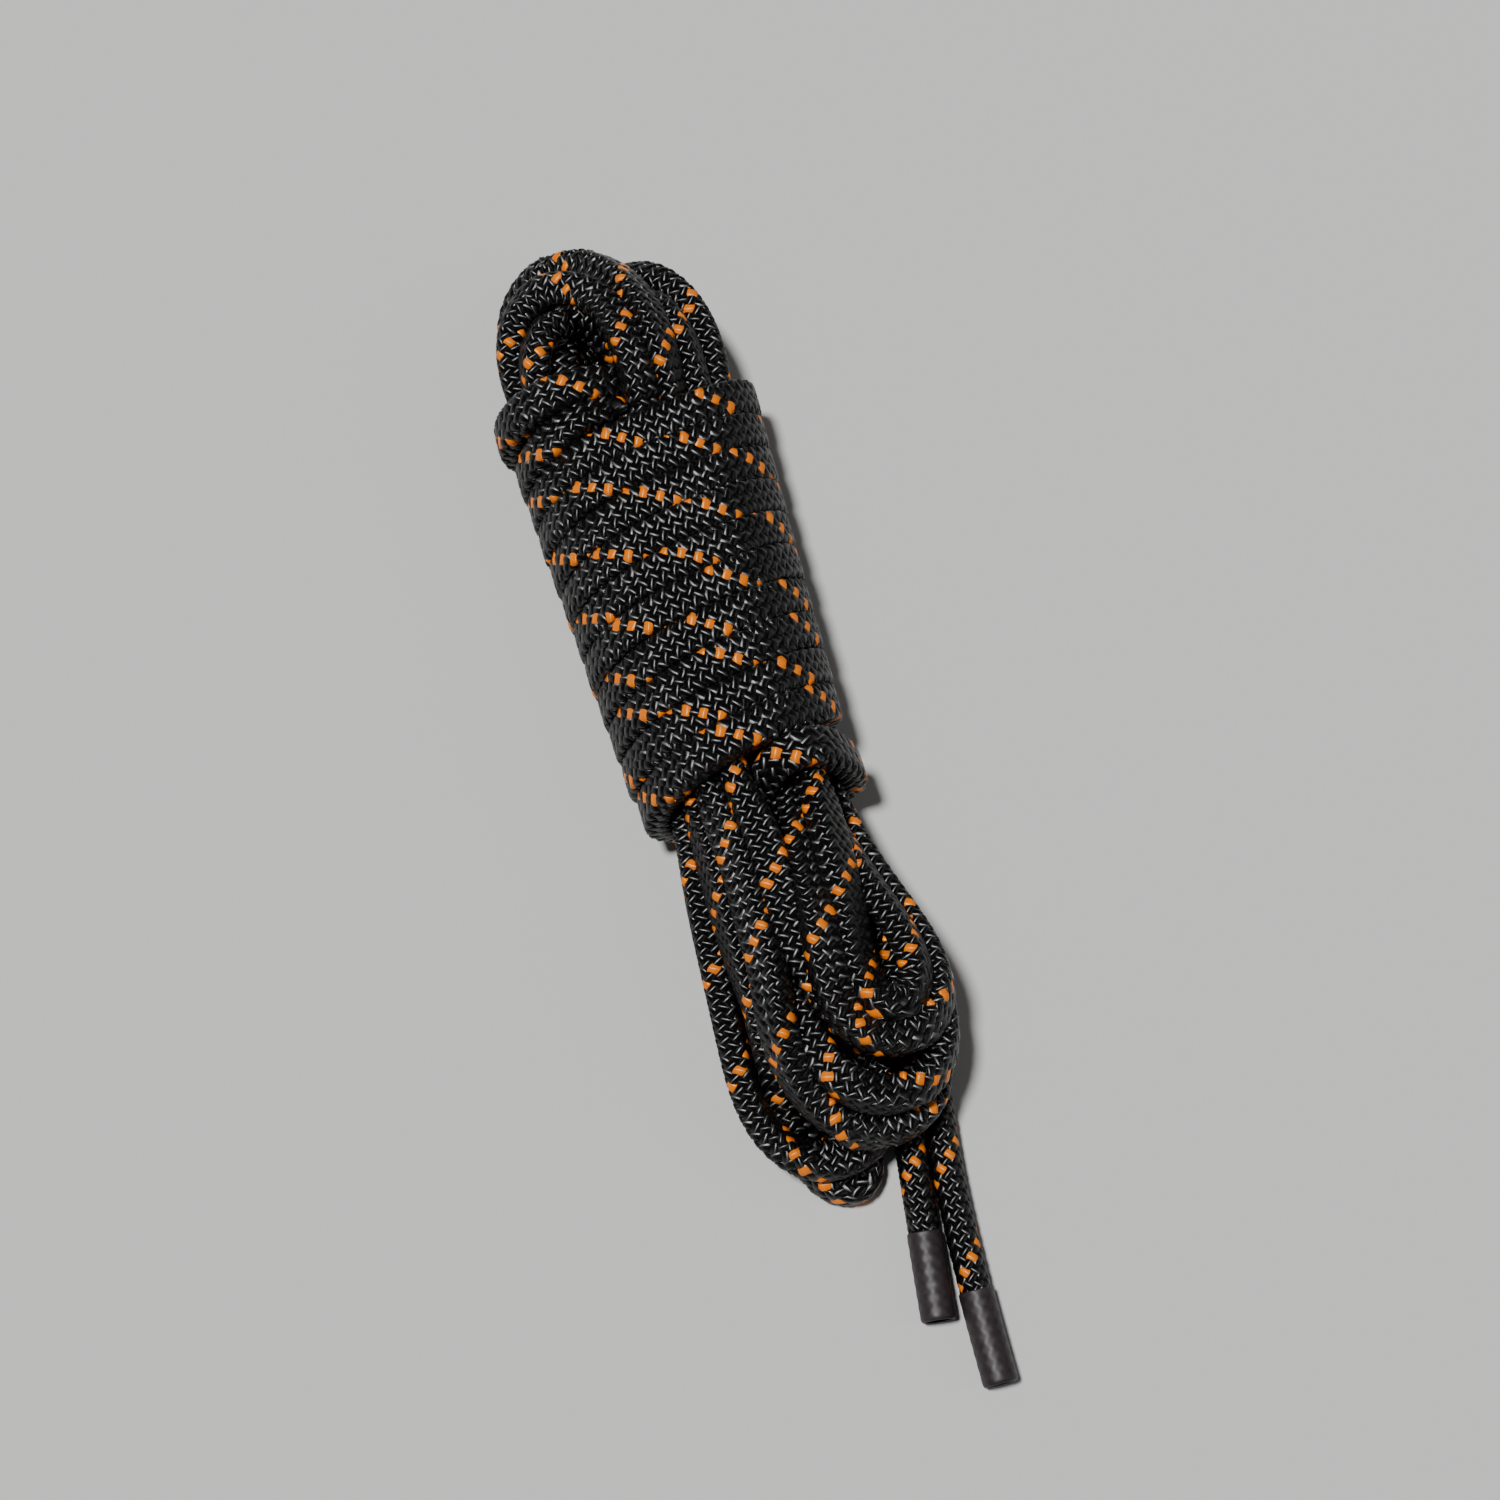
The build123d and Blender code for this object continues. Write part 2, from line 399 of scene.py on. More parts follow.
def leg_points(top, low, upward):
    """A leg of the hank inside the waist, between its low slot and its top slot."""
    top_x, top_z = TOP_SLOTS[top]
    low_x, low_z = LOW_SLOTS[low]
    points = []
    for share in (0.0, 0.25, 0.5, 0.75, 1.0):
        y = LOW_SLOT_Y + (TOP_SLOT_Y - LOW_SLOT_Y) * share
        points.append((low_x + (top_x - low_x) * share, y, low_z + (top_z - low_z) * share))
    return points if upward else points[::-1]


def bight_from(table, slot):
    """The bight that starts at this slot: the slot it ends at, and its points in that order."""
    for (first, second), points in table.items():
        if slot == first:
            return second, points
        if slot == second:
            return first, points[::-1]
    return None, []


def in_mm(end_point):
    """A point of a free end's route, in millimetres and at the ends' height."""
    return [c / MM for c in (*end_point, END_HEIGHT)]


def hank_route():
    """The whole route between the two free ends, each point with the kind of place it is at."""
    route = []

    def put(points, kind):
        route.extend((point, kind) for point in points)

    top_of_low = {low: top for top, low in LEGS.items()}
    put([in_mm(RIGHT_END_ROUTE[0])], "end")
    put(RIGHT_END_LEG, "end")
    low = FIRST_LOW_SLOT
    while True:
        top = top_of_low[low]
        put(leg_points(top, low, upward=True), "leg")
        if top == LAST_TOP_SLOT:
            break
        kind = "band" if top in BAND else "top"
        top, points = bight_from(TOP_BIGHTS, top)
        put(points, kind)
        low = LEGS[top]
        put(leg_points(top, low, upward=False), "leg")
        low, points = bight_from(LOW_BIGHTS, low)
        put(points, "low")

    put(FIRST_WRAP_START, "wrap")
    put([ring_point(math.radians(degrees), y) for degrees, y in FIRST_WRAP_RISE], "wrap")
    put(wrap_turn(-1, first_step=WRAP_STEPS // 2, end_right=wrap_y(WRAP_RIGHT, 0)), "wrap")
    for turn in range(WRAPS):
        put(wrap_turn(turn, end_right=LAST_WRAP_RIGHT_Y if turn == WRAPS - 1 else None), "wrap")
    put(LAST_WRAP_END, "wrap")
    put(LEFT_END_LEG, "end")
    put([in_mm(LEFT_END_ROUTE[0])], "end")
    return route


# ---------------------------------------------------------------- relaxing the rope

PARTICLE_SPACING = 4.75
LINE_SPACING = 0.5
RELAX_STEPS = 1500
FIXED_AT_ENDS = 2
D_MM = ROPE_D / MM

# In each step a particle goes this share of the way back to where the route has it. The share fades by
# ANCHOR_FADE over all the steps. It then sinks by GRAVITY, in millimetres.
ANCHOR = {"low": 0.05, "top": 0.05, "band": 0.05, "wrap": 0.03, "leg": 0.004, "end": 0.02}
ANCHOR_FADE = 0.75
GRAVITY = 0.03

# How strongly the rope straightens, what share of a stretch each pass undoes, and how short the wraps pull
# themselves, as a share of their length
BENDING = 0.10
BENDING_PASSES = 2
STRETCH_RETURN = 0.8
WRAP_PULL = 0.985

# Contact: the rope's radius as a share of its diameter, and how much further apart two wraps lie, also in
# diameters. Particles with several contacts at once move less for each of them.
CONTACT_SHARE = {"leg": 0.46}
USUAL_CONTACT_SHARE = 0.485
WRAP_SPREAD = 0.15
CONTACT_PASSES = 3
CROWDING = 0.45

# Pairs of particles that may touch: how often they are looked for, within how many diameters, and from how
# many particles apart along the rope
PAIRS_EVERY = 10
PAIRS_WITHIN = 1.5
NEIGHBOUR_GAP = 4


def smooth_particles(route):
    """A Catmull-Rom line through the route's points, cut into evenly spaced particles."""
    points = np.array([p for p, _ in route], float)
    kinds = [k for _, k in route]
    line, line_kinds = [], []
    for i in range(len(points) - 1):
        p1, p2 = points[i], points[i + 1]
        p0 = points[i - 1] if i else 2 * p1 - p2
        p3 = points[i + 2] if i + 2 < len(points) else 2 * p2 - p1
        knots = [0.0]
        for a, b in ((p0, p1), (p1, p2), (p2, p3)):
            knots.append(knots[-1] + math.sqrt(np.linalg.norm(b - a)))
        t0, t1, t2, t3 = knots
        count = max(2, int(np.linalg.norm(p2 - p1) / LINE_SPACING))
        for k in range(count):
            t = t1 + (t2 - t1) * k / count
            a1 = (t1 - t) / (t1 - t0) * p0 + (t - t0) / (t1 - t0) * p1
            a2 = (t2 - t) / (t2 - t1) * p1 + (t - t1) / (t2 - t1) * p2
            a3 = (t3 - t) / (t3 - t2) * p2 + (t - t2) / (t3 - t2) * p3
            b1 = (t2 - t) / (t2 - t0) * a1 + (t - t0) / (t2 - t0) * a2
            b2 = (t3 - t) / (t3 - t1) * a2 + (t - t1) / (t3 - t1) * a3
            line.append((t2 - t) / (t2 - t1) * b1 + (t - t1) / (t2 - t1) * b2)
            line_kinds.append(kinds[i] if k < count / 2 else kinds[i + 1])
    line.append(points[-1])
    line_kinds.append(kinds[-1])
    line = np.array(line)
    arc = np.concatenate([[0.0], np.cumsum(np.linalg.norm(np.diff(line, axis=0), axis=1))])
    count = int(round(arc[-1] / PARTICLE_SPACING)) + 1
    even = np.linspace(0.0, arc[-1], count)
    particles = np.stack([np.interp(even, arc, line[:, k]) for k in range(3)], axis=1)
    nearest = np.searchsorted(arc, even).clip(0, len(line_kinds) - 1)
    return particles, np.array([line_kinds[i] for i in nearest])


def second_difference(values):
    """How far each particle is from the middle of its two neighbours, doubled; nothing at the ends."""
    result = np.zeros_like(values)
    result[1:-1] = values[:-2] + values[2:] - 2 * values[1:-1]
    return result


def keep_length(x, rest, free):
    """Pull neighbouring particles back to their resting distance, odd and even pairs in turn."""
    for first in (0, 1, 0, 1):
        a = np.arange(first, len(x) - 1, 2)
        b = a + 1
        gap = x[b] - x[a]
        length = np.linalg.norm(gap, axis=1)
        share = np.maximum(free[a] + free[b], TINY)
        move = (STRETCH_RETURN * (length - rest[a]) / share / length)[:, None] * gap
        x[a] += move * free[a][:, None]
        x[b] -= move * free[b][:, None]


def close_pairs(x):
    """Pairs of particles that lie near each other and aren't neighbours along the rope."""
    square = (x ** 2).sum(axis=1)
    distance2 = square[:, None] + square[None, :] - 2 * x @ x.T
    return np.nonzero(np.triu(distance2 < (PAIRS_WITHIN * D_MM) ** 2, NEIGHBOUR_GAP))


def push_apart(x, pairs, reach, free):
    """Move pairs of particles apart where the rope overlaps itself, and lift it off the floor."""
    i, j = pairs
    gap = x[j] - x[i]
    distance = np.linalg.norm(gap, axis=1) + TINY
    overlap = reach - distance
    touching = overlap > 0
    a, b = i[touching], j[touching]
    move = 0.5 * (overlap[touching] / distance[touching])[:, None] * gap[touching]
    count = np.bincount(a, minlength=len(x)) + np.bincount(b, minlength=len(x))
    total = np.stack(
        [np.bincount(b, move[:, k], len(x)) - np.bincount(a, move[:, k], len(x)) for k in range(3)],
        axis=1,
    )
    x += total / np.maximum(1, count * CROWDING)[:, None] * free[:, None]
    x[:, 2] = np.maximum(x[:, 2], D_MM / 2)


def relax(particles, kinds):
    """Let the rope settle: it keeps its length, resists bending, sinks, and is pushed off what it touches."""
    x = particles.copy()
    hold = np.array([ANCHOR[k] for k in kinds])
    radius = np.array([CONTACT_SHARE.get(k, USUAL_CONTACT_SHARE) for k in kinds]) * D_MM
    wraps = (kinds == "wrap").astype(float)
    free = np.ones(len(x))
    free[:FIXED_AT_ENDS] = 0.0
    free[-FIXED_AT_ENDS:] = 0.0
    rest = np.full(len(x) - 1, np.linalg.norm(np.diff(x, axis=0), axis=1).mean())
    rest *= np.where(kinds[:-1] == "wrap", WRAP_PULL, 1.0)
    for step in range(RELAX_STEPS):
        x += (particles - x) * (hold * (1 - ANCHOR_FADE * step / RELAX_STEPS) * free)[:, None]
        x[:, 2] -= GRAVITY * free
        for _ in range(BENDING_PASSES):
            x -= BENDING * second_difference(second_difference(x)) * free[:, None]
        keep_length(x, rest, free)
        if step % PAIRS_EVERY == 0:
            pairs = close_pairs(x)
            i, j = pairs
            reach = radius[i] + radius[j] + wraps[i] * wraps[j] * WRAP_SPREAD * D_MM
        for _ in range(CONTACT_PASSES):
            push_apart(x, pairs, reach, free)
    return x


# ---------------------------------------------------------------- the centre line

NURBS_ORDER = 3
NURBS_RESOLUTION = 12


def nurbs_points(control_points):
    """Points along the NURBS spline through these control points, as Blender evaluates it."""
    curve = bpy.data.curves.new("centre_line", "CURVE")
    curve.dimensions = "3D"
    curve.resolution_u = NURBS_RESOLUTION
    spline = curve.splines.new("NURBS")
    spline.points.add(len(control_points) - 1)
    for point, place in zip(spline.points, control_points):
        point.co = (*place, 1.0)
    spline.order_u = NURBS_ORDER
    spline.use_endpoint_u = True
    holder = bpy.data.objects.new("centre_line", curve)
    mesh = bpy.data.meshes.new_from_object(holder)
    points = np.array([tuple(v.co) for v in mesh.vertices])
    bpy.data.meshes.remove(mesh)
    bpy.data.objects.remove(holder)
    bpy.data.curves.remove(curve)
    return points


class CentreLine:
    """The rope's centre line: evenly spaced points, each with a frame that doesn't twist along the rope."""

    STEP = 0.0005

    def __init__(self, points):
        arc = np.concatenate([[0.0], np.cumsum(np.linalg.norm(np.diff(points, axis=0), axis=1))])
        self.length = float(arc[-1])
        count = int(self.length / self.STEP)
        self.arc = np.linspace(0.0, self.length, count + 1)
        self.points = np.stack([np.interp(self.arc, arc, points[:, k]) for k in range(3)], axis=1)
        tangents = np.gradient(self.points, axis=0)
        self.tangents = tangents / np.linalg.norm(tangents, axis=1)[:, None]
        normals = np.zeros_like(self.points)
        normal = np.cross(self.tangents[0], np.cross((0.0, 0.0, 1.0), self.tangents[0]))
        for i, tangent in enumerate(self.tangents):
            normal = normal - tangent * (normal @ tangent)
            normal = normal / math.sqrt(normal @ normal)
            normals[i] = normal
        self.normals = normals

    def at(self, arc):
        """The places, tangents, normals and sideways directions at these distances along the rope."""
        def read(values):
            return np.stack([np.interp(arc, self.arc, values[:, k]) for k in range(3)], axis=-1)
        places, tangents, normals = read(self.points), read(self.tangents), read(self.normals)
        tangents /= np.linalg.norm(tangents, axis=-1, keepdims=True)
        normals -= tangents * (normals * tangents).sum(axis=-1, keepdims=True)
        normals /= np.linalg.norm(normals, axis=-1, keepdims=True)
        return places, tangents, normals, np.cross(tangents, normals)


# ---------------------------------------------------------------- meshes along the centre line

# A fully pressed section, as shares of the round one, and the power that squares its corners: 2 is an ellipse
PRESSED_HEIGHT = 0.88
PRESSED_WIDTH = 1.25
PRESSED_SQUARENESS = 6.0

# How far the rope is pressed at each kind of place, and the line that it is pressed towards
PRESS = {"wrap": 1.0, "band": 0.9, "low": 0.7, "top": 0.5}
WAIST_MIDDLE = np.array([-0.001, 0.0, 0.024])


def press(offsets, places, tangents, amount):
    """Flatten the rope's section where it is pressed: lower outwards from the waist, wider sideways."""
    outward = places - WAIST_MIDDLE
    outward[..., 1] = 0.0
    outward -= tangents * (outward * tangents).sum(axis=-1, keepdims=True)
    outward /= np.linalg.norm(outward, axis=-1, keepdims=True) + TINY * MM
    along_out = (offsets * outward).sum(axis=-1, keepdims=True)
    sideways = offsets - outward * along_out
    radius = np.linalg.norm(offsets, axis=-1, keepdims=True)
    amount = amount[..., None]
    power = 2 + (PRESSED_SQUARENESS - 2) * amount
    height = 1 + (PRESSED_HEIGHT - 1) * amount
    width = 1 + (PRESSED_WIDTH - 1) * amount
    out_share = np.abs(along_out) / radius
    side_share = np.linalg.norm(sideways, axis=-1, keepdims=True) / radius
    fuller = ((out_share / height) ** power + (side_share / width) ** power) ** (-1 / power)
    return offsets * fuller


def swept_mesh(name, sections, attributes=None):
    """A closed mesh from rings of points: quads between rings and a cap at each end."""
    rings, corners = sections.shape[:2]
    mesh = bpy.data.meshes.new(name)
    verts = sections.reshape(-1, 3)
    index = np.arange(rings * corners).reshape(rings, corners)
    beside = np.roll(index, -1, axis=1)
    quads = np.stack([index[:-1], beside[:-1], beside[1:], index[1:]], axis=-1).reshape(-1, 4)
    caps = np.concatenate([index[0][::-1], index[-1]])
    loops = np.concatenate([quads.reshape(-1), caps])
    starts = np.concatenate([np.arange(len(quads)) * 4, [len(quads) * 4, len(quads) * 4 + corners]])
    mesh.vertices.add(len(verts))
    mesh.vertices.foreach_set("co", verts.astype(np.float32).reshape(-1))
    mesh.loops.add(len(loops))
    mesh.loops.foreach_set("vertex_index", loops.astype(np.int32))
    mesh.polygons.add(len(quads) + 2)
    mesh.polygons.foreach_set("loop_start", starts.astype(np.int32))
    mesh.update(calc_edges=True)
    mesh.validate()
    for attribute, values in (attributes or {}).items():
        is_vector = values.ndim == 3
        layer = mesh.attributes.new(attribute, "FLOAT_VECTOR" if is_vector else "FLOAT", "POINT")
        layer.data.foreach_set("vector" if is_vector else "value", values.astype(np.float32).reshape(-1))
    mesh.shade_smooth()
    piece = bpy.data.objects.new(name, mesh)
    bpy.context.scene.collection.objects.link(piece)
    return piece


# ---------------------------------------------------------------- the braid

BRAID_STRANDS = 16
STRANDS_EACH_WAY = BRAID_STRANDS // 2
BRAID_PITCH = 0.030
STRAND_MIDDLE_R = 0.00402
STRAND_HALF_WIDTH = 0.00142
STRAND_CROWN = 0.00034

# A strand on top of a crossing lies this much further out, and is wider by this share
CROSSING_RISE = 0.00042
CROSSING_WIDENING = 0.05

TRACER_STRAND = 0
TRACER_WIDENING = 1.1

# The distance between a strand's sections, where it can be seen and where it can't
FINE_STEP = 0.00058
COARSE_STEP = 0.0012

# A strand's section: how far across, in half widths, and how far outwards, in crowns. The first and the
# second last corner are its two edges. The fibres' noise is shifted on the corners that lie inwards.
STRAND_SECTION = [(-1.0, -0.4), (-0.8, 0.86), (0.0, 1.0), (0.8, 0.86), (1.0, -0.4), (0.0, -0.9)]
INNER_CORNER_SHIFT = 0.4

# A strand's width wavers a little, in two waves. Each has its depth, its radians in a metre along the rope,
# and its radians from strand to strand.
WIDTH_WAVES = [(0.05, 410.0, 15.3), (0.04, 1130.0, 52.7)]

# The fibres' noise starts this much further on from strand to strand
NOISE_STEP_ALONG = 0.37
NOISE_STEP_ACROSS = 4.0

# Where the tracer comes up on each wrap: how far to the right of the waist's middle, in millimetres
TRACER_ON_TOP = [-7, 14.5, -2.5, 14, 2.3, 11.7, 1.5, 4.3, -8.5, -1]

UNDERLAY_R = 0.0039
UNDERLAY_STEP = 0.0016
UNDERLAY_SIDES = 12


def tracer_twist(line, wrapped):
    """The rope's extra twist along its length, which brings the tracer up where it should on each wrap."""
    x, z = line.points[:, 0], line.points[:, 2]
    goes_left = (x[:-1] >= WAIST_MIDDLE[0]) & (x[1:] < WAIST_MIDDLE[0])
    on_top = goes_left & (z[:-1] > WAIST_MIDDLE[2]) & (wrapped[:-1] > 0.5)
    marks, twists = [], []
    for index, place in zip(np.nonzero(on_top)[0], TRACER_ON_TOP):
        arc = line.arc[index] - place * MM
        places, _, normals, sides = (v[0] for v in line.at(np.array([arc])))
        outward = (places - WAIST_MIDDLE) * (1, 0, 1)
        twist = math.atan2(outward @ sides, outward @ normals) - 2 * math.pi * arc / BRAID_PITCH
        if twists:
            twist -= 2 * math.pi * round((twist - twists[-1]) / (2 * math.pi))
        marks.append(arc)
        twists.append(twist)
    return np.interp(line.arc, marks, twists)


def strand_stations(line, hidden):
    """Where along the rope each strand's sections stand: closer together where they can be seen."""
    here = 0.0
    stations = []
    while here < line.length:
        stations.append(here)
        here += COARSE_STEP if np.interp(here, line.arc, hidden) > 0.5 else FINE_STEP
    stations.append(line.length)
    return np.array(stations)


def strand_half_width(number, stations, lift):
    """Half the width of one strand along the rope: it wavers, and it is widest where the strand is on top."""
    wave = 1
    for depth, rate, strand_shift in WIDTH_WAVES:
        wave = wave + depth * np.sin(stations * rate + number * strand_shift)
    half_width = STRAND_HALF_WIDTH * wave * (1 + CROSSING_WIDENING * lift)
    return half_width * TRACER_WIDENING if number == TRACER_STRAND else half_width


def add_strand(number, line, stations, pressed, twist):
    """One flat strand of the sheath, which spirals round the rope and passes over and under the others."""
    way = 1.0 if number < STRANDS_EACH_WAY else -1.0
    place_in_ring = (number % STRANDS_EACH_WAY) / STRANDS_EACH_WAY
    lift = way * np.cos(2 * math.pi * STRANDS_EACH_WAY * stations / BRAID_PITCH)
    middle_r = STRAND_MIDDLE_R + CROSSING_RISE * lift
    turn = 2 * math.pi * (place_in_ring + way * stations / BRAID_PITCH)
    turn += np.interp(stations, line.arc, twist)
    slope = math.atan2(2 * math.pi * STRAND_MIDDLE_R, BRAID_PITCH)
    half_width = strand_half_width(number, stations, lift)

    sections = np.zeros((len(stations), len(STRAND_SECTION), 3))
    across = np.zeros((len(stations), len(STRAND_SECTION)))
    for corner, (side, height) in enumerate(STRAND_SECTION):
        sideways = side * half_width
        arc = np.clip(stations - way * sideways * math.sin(slope), 0.0, line.length)
        radius = middle_r + height * STRAND_CROWN
        angle = turn + sideways * math.cos(slope) / STRAND_MIDDLE_R
        places, tangents, normals, sides = line.at(arc)
        offsets = (normals * np.cos(angle)[:, None] + sides * np.sin(angle)[:, None]) * radius[:, None]
        offsets = press(offsets, places, tangents, np.interp(arc, line.arc, pressed))
        sections[:, corner] = places + offsets
        across[:, corner] = side + (INNER_CORNER_SHIFT if height < 0 else 0.0)
    sections[..., 2] = np.maximum(sections[..., 2], LOWEST_Z)

    corners = len(STRAND_SECTION)
    along = np.repeat(stations[:, None], corners, axis=1) + number * NOISE_STEP_ALONG
    crosswise = sections[:, -2] - sections[:, 0]
    crosswise /= np.linalg.norm(crosswise, axis=1)[:, None]
    crosswise = np.repeat(crosswise[:, None], corners, axis=1)
    attributes = {"along": along, "across": across + number * NOISE_STEP_ACROSS, "crosswise": crosswise}
    colour = "orange" if number == TRACER_STRAND else "black"
    return swept_mesh(f"sheath_strand_{number + 1:02d}_{colour}", sections, attributes)


def add_underlay(line, pressed):
    """The dark cord under the strands, which closes the small gaps between them."""
    arc = np.linspace(0.0, line.length, int(line.length / UNDERLAY_STEP))
    places, tangents, normals, sides = line.at(arc)
    amount = np.interp(arc, line.arc, pressed)
    sections = np.zeros((len(arc), UNDERLAY_SIDES, 3))
    for corner in range(UNDERLAY_SIDES):
        angle = 2 * math.pi * corner / UNDERLAY_SIDES
        offsets = (normals * math.cos(angle) + sides * math.sin(angle)) * UNDERLAY_R
        sections[:, corner] = places + press(offsets, places, tangents, amount)
    return swept_mesh("rope_underlay", sections)


# ---------------------------------------------------------------- sleeves and tips

# The sleeve's outside: its edge by the rope is rounded, and its outer end curls in
SLEEVE_RINGS = 160
SLEEVE_SIDES = 72
SLEEVE_EDGE_LENGTH = 0.0004
SLEEVE_EDGE_DEPTH = 0.35 * SLEEVE_WALL
SLEEVE_CURL_LENGTH = 0.0016
SLEEVE_CURL_DEPTH = 0.0008
SLEEVE_CURL_ROUNDNESS = 0.99

# Its inside: an open recess beyond the tip, and a bore round the rope, both a little narrower than the wall
# alone would leave them
RECESS_RINGS = 8
RECESS_OVERLAP = 0.0002
RECESS_NARROWING = 0.0001
BORE_RINGS = 24
BORE_NARROWING = 0.00005

# The braid's imprint in the sleeve, which fades out towards the outer end
IMPRINT_DEPTH = 0.00006
IMPRINT_FADE = 0.004

# The melted end's outline: distance beyond the rope's end, and share of the rope's radius
TIP_PROFILE = [
    (-0.0005, 0.93), (0.0006, 0.95), (0.0011, 0.93), (0.0014, 0.8), (0.00145, 0.55), (0.0013, 0.28),
    (0.00125, 0.06),
]
TIP_SIDES = 36
TIP_LUMP = 0.00012
TIP_LUMP_SWIRL = 9


def end_frames(line, at_start, distances):
    """Places and directions near one end of the rope, continued straight beyond it.

    Distances are measured from the rope's end, negative back along the rope and positive beyond it.
    """
    arc = np.where(distances < 0, -distances, 0.0)
    if not at_start:
        arc = line.length - arc
    places, tangents, normals, sides = line.at(arc)
    outward = -tangents if at_start else tangents
    beyond = np.maximum(distances, 0.0)[:, None]
    return places + outward * beyond, normals, sides


def sleeve_profile(outer_end, inner_end):
    """The tube's outline: distances from the rope's end, radii, and 1 on its outside or 0 on its inside."""
    def curl(distance):
        share = max(0.0, 1 - (outer_end - distance) / SLEEVE_CURL_LENGTH)
        return SLEEVE_CURL_DEPTH * (1 - math.sqrt(1 - share ** 2 * SLEEVE_CURL_ROUNDNESS))

    bore_r = SLEEVE_R - SLEEVE_WALL
    recess_floor = TIP_LENGTH - RECESS_OVERLAP
    profile = []
    for distance in np.linspace(inner_end, outer_end, SLEEVE_RINGS):
        edge = min(1.0, (distance - inner_end) / SLEEVE_EDGE_LENGTH)
        rounded = SLEEVE_EDGE_DEPTH * (1 - math.sqrt(1 - (1 - edge) ** 2))
        profile.append((distance, SLEEVE_R - rounded - curl(distance), 1.0))
    for distance in np.linspace(outer_end, recess_floor, RECESS_RINGS)[1:]:
        profile.append((distance, bore_r - RECESS_NARROWING - curl(distance), 0.0))
    for distance in np.linspace(recess_floor, inner_end, BORE_RINGS)[1:]:
        profile.append((distance, bore_r - BORE_NARROWING, 0.0))
    return np.array(profile).T


def add_sleeve(name, line, at_start, length):
    """A heat-shrink tube, shrunk onto the braid, which curls in a little beyond the tip and is open there."""
    outer_end = TIP_LENGTH + SLEEVE_OVERHANG
    distances, radii, outside = sleeve_profile(outer_end, outer_end - length)
    places, normals, sides = end_frames(line, at_start, distances)
    imprint = IMPRINT_DEPTH * outside * np.clip((outer_end - distances) / IMPRINT_FADE, 0.0, 1.0)
    spiral = 2 * math.pi * distances / BRAID_PITCH
    sections = np.zeros((len(distances), SLEEVE_SIDES, 3))
    for corner in range(SLEEVE_SIDES):
        angle = 2 * math.pi * corner / SLEEVE_SIDES
        weave = np.cos(STRANDS_EACH_WAY * (angle + spiral)) + np.cos(STRANDS_EACH_WAY * (angle - spiral))
        radius = radii - imprint * (1 - 0.5 * weave)
        direction = normals * math.cos(angle) + sides * math.sin(angle)
        sections[:, corner] = places + direction * radius[:, None]
    sections[..., 2] = np.maximum(sections[..., 2], LOWEST_Z)
    return closed_ring_mesh(name, sections)


def closed_ring_mesh(name, sections):
    """A tube-shaped mesh whose last ring joins its first, with no caps."""
    rings, corners = sections.shape[:2]
    faces = []
    for ring in range(rings):
        here, after = ring * corners, (ring + 1) % rings * corners
        for corner in range(corners):
            side = (corner + 1) % corners
            faces.append((here + corner, here + side, after + side, after + corner))
    mesh = bpy.data.meshes.new(name)
    mesh.from_pydata([tuple(p) for p in sections.reshape(-1, 3)], [], faces)
    outwards = bmesh.new()
    outwards.from_mesh(mesh)
    bmesh.ops.recalc_face_normals(outwards, faces=outwards.faces)
    outwards.to_mesh(mesh)
    outwards.free()
    mesh.shade_smooth()
    piece = bpy.data.objects.new(name, mesh)
    bpy.context.scene.collection.objects.link(piece)
    return piece


def add_tip(name, line, at_start, phase):
    """The melted end: a low, lumpy dome of fused yarn."""
    distances, shares = np.array(TIP_PROFILE).T
    places, normals, sides = end_frames(line, at_start, distances)
    outward = places[-1] - places[0]
    outward = outward / np.linalg.norm(outward)
    sections = np.zeros((len(shares), TIP_SIDES, 3))
    for corner in range(TIP_SIDES):
        angle = 2 * math.pi * corner / TIP_SIDES
        lump = TIP_LUMP * np.sin(3 * angle + phase + TIP_LUMP_SWIRL * shares) * math.sin(2 * angle - phase)
        direction = normals * math.cos(angle) + sides * math.sin(angle)
        sections[:, corner] = places + direction * (shares * ROPE_R)[:, None]
        sections[:, corner] += outward * (lump * (1 - shares))[:, None]
    return swept_mesh(name, sections)


# ---------------------------------------------------------------- building the rope

# The pressing comes and goes over this many points of the centre line
PRESS_FADE = 30

# Between these two y the wraps cover whatever is inside the waist, and below this z they can't be seen
COVERED_Y = (0.004, 0.110)
UNDERSIDE_Z = 0.009

# Each tip's lumps are turned differently
TIP_PHASES = {"right": 1.3, "left": 2.9}


def smooth_values(values, reach):
    """A running mean, so that a quality of the rope comes and goes gradually."""
    kernel = np.ones(reach) / reach
    return np.convolve(np.pad(values, reach, mode="edge"), kernel, mode="same")[reach:-reach]


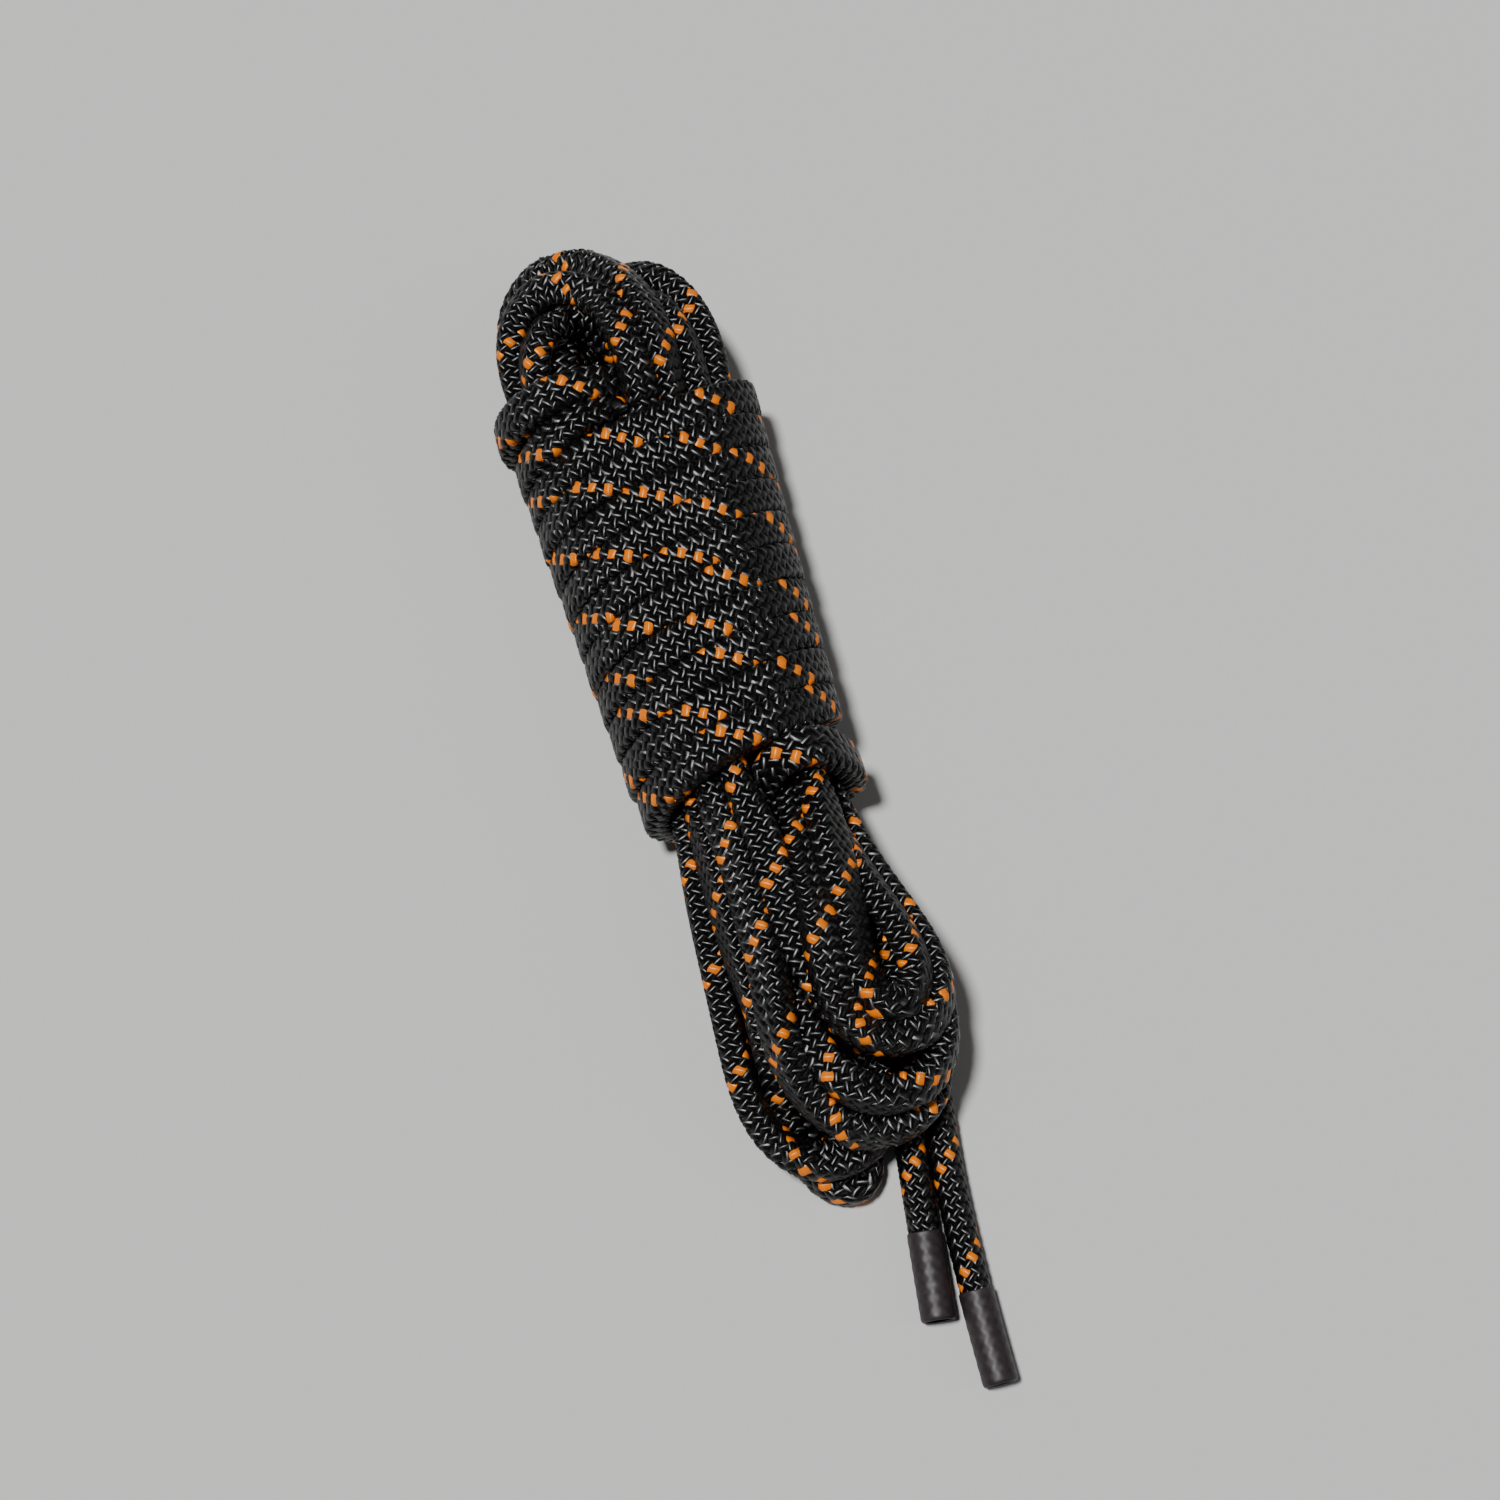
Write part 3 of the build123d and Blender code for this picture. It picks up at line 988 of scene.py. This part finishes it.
def rope_line():
    """The rope's centre line, and at each of its points how much the rope is in a wrap, and pressed flat."""
    particles, kinds = smooth_particles(hank_route())
    settled = relax(particles, kinds) * MM
    right_end = [(x, y, END_HEIGHT) for x, y in RIGHT_END_ROUTE[::-1]]
    left_end = [(x, y, END_HEIGHT) for x, y in LEFT_END_ROUTE]
    controls = right_end[:-1] + [tuple(p) for p in settled] + left_end[1:]
    kinds = ["end"] * (len(right_end) - 1) + list(kinds) + ["end"] * (len(left_end) - 1)
    line = CentreLine(nurbs_points(controls))

    runs = np.linalg.norm(np.diff(np.array(controls), axis=0), axis=1)
    control_arc = np.concatenate([[0.0], np.cumsum(runs)])
    control_arc *= line.length / control_arc[-1]
    wrapped = np.interp(line.arc, control_arc, [float(k == "wrap") for k in kinds])
    pressing = np.interp(line.arc, control_arc, [PRESS.get(k, 0.0) for k in kinds])
    return line, wrapped, smooth_values(pressing, PRESS_FADE)


def hidden_stretches(line, wrapped):
    """Where the rope can't be seen: inside the waist, and on the underside of the wraps."""
    y, z = line.points[:, 1], line.points[:, 2]
    in_waist = (y > COVERED_Y[0]) & (y < COVERED_Y[1])
    return (in_waist & ((wrapped < 0.5) | (z < UNDERSIDE_Z))).astype(float)


def finish_piece(piece, material):
    """Give a piece its material, and let it ride on the part's one body."""
    piece.data.materials.append(material)
    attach(piece, "root")
    return piece


def add_sheath(line, wrapped, pressed):
    """The sixteen strands of the braid, the first of them the orange tracer."""
    black, orange = sheath_black(), tracer_orange()
    stations = strand_stations(line, hidden_stretches(line, wrapped))
    twist = tracer_twist(line, wrapped)
    strands = []
    for number in range(BRAID_STRANDS):
        strand = add_strand(number, line, stations, pressed, twist)
        if number == TRACER_STRAND:
            finish_piece(strand, orange)
        else:
            finish_piece(strand, black)
        strands.append(strand)
    return strands


def add_ends(line):
    """The sleeve and the melted tip on each end of the rope, in place of their CAD nodes."""
    shrink, melted = heat_shrink(), melted_nylon()
    pieces = []
    for side, at_start in (("right", True), ("left", False)):
        sleeve = add_sleeve(f"{side}_sleeve", line, at_start, SLEEVE_LENGTHS[side])
        finish_piece(sleeve, shrink)
        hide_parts(f"{side}_end_sleeve")
        tip = add_tip(f"{side}_tip", line, at_start, TIP_PHASES[side])
        finish_piece(tip, melted)
        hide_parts(f"{side}_end_melted_tip")
        pieces += [sleeve, tip]
    return pieces


def build_rope():
    """The whole rope: its underlay, with the braid, sleeves and tips on it."""
    line, wrapped, pressed = rope_line()
    underlay = finish_piece(add_underlay(line, pressed), sheath_underlay())
    on_rope = add_sheath(line, wrapped, pressed) + add_ends(line)
    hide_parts("upper_loops", "waist_wraps", "lower_loops")
    for side in ("left", "right"):
        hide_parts(f"{side}_end_sheath", f"{side}_end_core_yarns")


add_camera()
add_floor()
add_lights()
build_rope()
